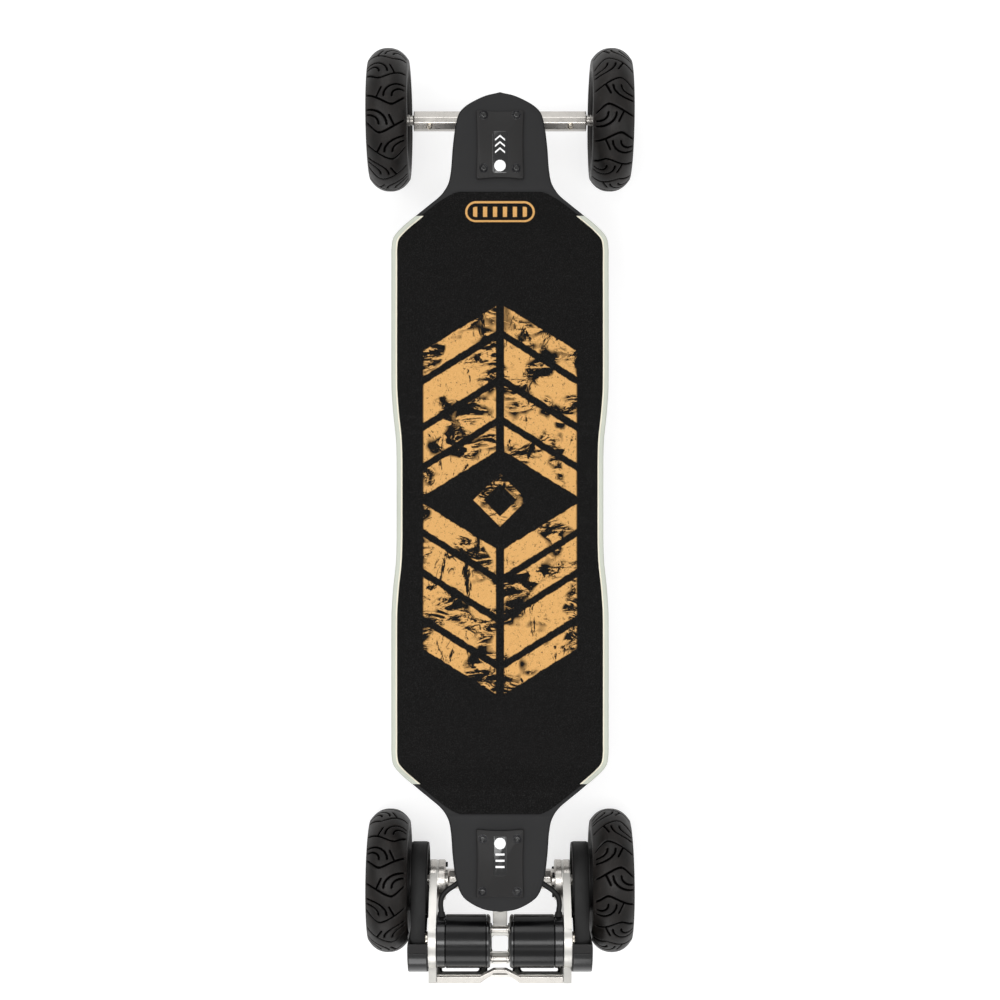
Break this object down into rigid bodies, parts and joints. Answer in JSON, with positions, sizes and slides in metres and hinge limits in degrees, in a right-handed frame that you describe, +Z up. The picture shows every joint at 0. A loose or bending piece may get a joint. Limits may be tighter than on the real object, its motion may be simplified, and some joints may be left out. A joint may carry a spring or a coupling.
{
  "type": "electric mountainboard",
  "caption": "Electric mountainboard: concave deck over a battery enclosure, double-pivot trucks, pneumatic tyres, rear belt drive.",
  "frame": {"origin": "on the ground under the middle of the bounding box", "axes": "+X to the nose, +Y to the left of a rider facing the nose, +Z up"},
  "size_m": [1.1506, 0.326, 0.175],
  "materials": {
    "rim": "satin sage green moulding with a cream inner line",
    "under_panel": "white satin panel with black slanted stripes",
    "deck": "smooth black composite",
    "grip": "coarse black grit with a tan print",
    "black_plastic": "fine matt black moulding",
    "baseplate": "black painted casting",
    "battery": "blue shrink wrap",
    "controller": "plain extruded housing",
    "port_rubber": "soft black rubber",
    "button": "turned grey metal",
    "truck": "bright machined silver",
    "bushing": "translucent red urethane",
    "steel": "warm bright nickel plate",
    "mount": "satin silver plate",
    "motor": "satin black anodised can",
    "wheel": "dark grey painted alloy",
    "tyre": "black-brown rubber with a grooved tread",
    "belt": "matt black toothed belt",
    "cable": "matt black sheath"
  },
  "bodies": {
    "board": {"deck_core": "deck", "left_deck_rim": "rim", "right_deck_rim": "rim", "under_panel": "under_panel", "grip_tape": "grip", "nose_cover": "black_plastic", "tail_cover": "black_plastic", "front_baseplate": "baseplate", "rear_baseplate": "baseplate", "front_inner_kingpin": "steel", "rear_inner_kingpin": "steel", "front_inner_bushing": "bushing", "rear_inner_bushing": "bushing", "enclosure_tray": "black_plastic", "enclosure_lid": "black_plastic", "left_side_rail": "black_plastic", "right_side_rail": "black_plastic", "battery_pack": "battery", "motor_controller": "controller", "left_cable_pod": "black_plastic", "right_cable_pod": "black_plastic", "left_motor_cable": "cable", "right_motor_cable": "cable"},
    "port_cover": {"charge_port_cover": "port_rubber"},
    "button": {"power_button": "button"},
    "front_link": {"front_link": "truck", "front_outer_kingpin": "steel", "front_outer_bushing": "bushing"},
    "front_hanger": {"front_hanger": "truck", "front_axle": "steel"},
    "rear_link": {"rear_link": "truck", "rear_outer_kingpin": "steel", "rear_outer_bushing": "bushing"},
    "rear_hanger": {"rear_hanger": "truck", "rear_axle": "steel", "left_motor_mount": "mount", "right_motor_mount": "mount", "left_motor": "motor", "right_motor": "motor", "left_belt": "belt", "right_belt": "belt", "left_belt_guard": "black_plastic", "right_belt_guard": "black_plastic", "rear_bumper": "mount"},
    "left_motor_rotor": {"left_motor_shaft": "steel"},
    "right_motor_rotor": {"right_motor_shaft": "steel"},
    "front_left_wheel": {"front_left_tyre": "tyre", "front_left_wheel_rim": "wheel", "front_left_bearings": "steel"},
    "front_right_wheel": {"front_right_tyre": "tyre", "front_right_wheel_rim": "wheel", "front_right_bearings": "steel"},
    "rear_left_wheel": {"rear_left_tyre": "tyre", "rear_left_wheel_rim": "wheel", "rear_left_bearings": "steel", "left_wheel_pulley": "black_plastic"},
    "rear_right_wheel": {"rear_right_tyre": "tyre", "rear_right_wheel_rim": "wheel", "rear_right_bearings": "steel", "right_wheel_pulley": "black_plastic"}
  },
  "joints": [
    {"name": "front_link_lean", "type": "hinge", "parent": "board", "child": "front_link", "pos_m": [0.42775, 0, 0.1075], "axis": [0.8829, 0, 0.4695], "range_deg": [-11, 11], "stiffness_Nm_per_rad": 300, "deforming": ["front_inner_bushing"]},
    {"name": "front_hanger_lean", "type": "hinge", "parent": "front_link", "child": "front_hanger", "pos_m": [0.46575, 0, 0.0905], "axis": [0.8829, 0, 0.4695], "range_deg": [-11, 11], "deforming": ["front_outer_bushing"]},
    {"name": "front_left_wheel_spin", "type": "hinge", "parent": "front_hanger", "child": "front_left_wheel", "pos_m": [0.48775, 0.138, 0.0875], "axis": [0, 1, 0], "continuous": true},
    {"name": "front_right_wheel_spin", "type": "hinge", "parent": "front_hanger", "child": "front_right_wheel", "pos_m": [0.48775, -0.138, 0.0875], "axis": [0, 1, 0], "continuous": true},
    {"name": "rear_link_lean", "type": "hinge", "parent": "board", "child": "rear_link", "pos_m": [-0.40225, 0, 0.1075], "axis": [-0.8829, 0, 0.4695], "range_deg": [-11, 11], "stiffness_Nm_per_rad": 300, "deforming": ["rear_inner_bushing"]},
    {"name": "rear_hanger_lean", "type": "hinge", "parent": "rear_link", "child": "rear_hanger", "pos_m": [-0.44025, 0, 0.0905], "axis": [-0.8829, 0, 0.4695], "range_deg": [-11, 11], "deforming": ["rear_outer_bushing", "left_motor_cable", "right_motor_cable"]},
    {"name": "rear_left_wheel_spin", "type": "hinge", "parent": "rear_hanger", "child": "rear_left_wheel", "pos_m": [-0.46225, 0.138, 0.0875], "axis": [0, 1, 0], "continuous": true},
    {"name": "rear_right_wheel_spin", "type": "hinge", "parent": "rear_hanger", "child": "rear_right_wheel", "pos_m": [-0.46225, -0.138, 0.0875], "axis": [0, 1, 0], "continuous": true},
    {"name": "left_motor_spin", "type": "hinge", "parent": "rear_hanger", "child": "left_motor_rotor", "pos_m": [-0.52625, 0.06, 0.1345], "axis": [0, 1, 0], "continuous": true},
    {"name": "right_motor_spin", "type": "hinge", "parent": "rear_hanger", "child": "right_motor_rotor", "pos_m": [-0.52625, -0.06, 0.1345], "axis": [0, 1, 0], "continuous": true},
    {"name": "power_button_press", "type": "slide", "parent": "board", "child": "button", "axis": [0, 0.7365, 0.6764], "range_m": [0, 0.0015], "stiffness_N_per_m": 600},
    {"name": "charge_port_cover_swing", "type": "hinge", "parent": "board", "child": "port_cover", "pos_m": [-0.23725, -0.11726, 0.12812], "axis": [-1, 0, 0], "range_deg": [0, 90]}
  ],
  "couplings": [
    {"joint": "front_hanger_lean", "follows": "front_link_lean", "ratio": 1},
    {"joint": "rear_hanger_lean", "follows": "rear_link_lean", "ratio": 1},
    {"joint": "left_motor_spin", "follows": "rear_left_wheel_spin", "ratio": 3.5},
    {"joint": "right_motor_spin", "follows": "rear_right_wheel_spin", "ratio": 3.5}
  ]
}
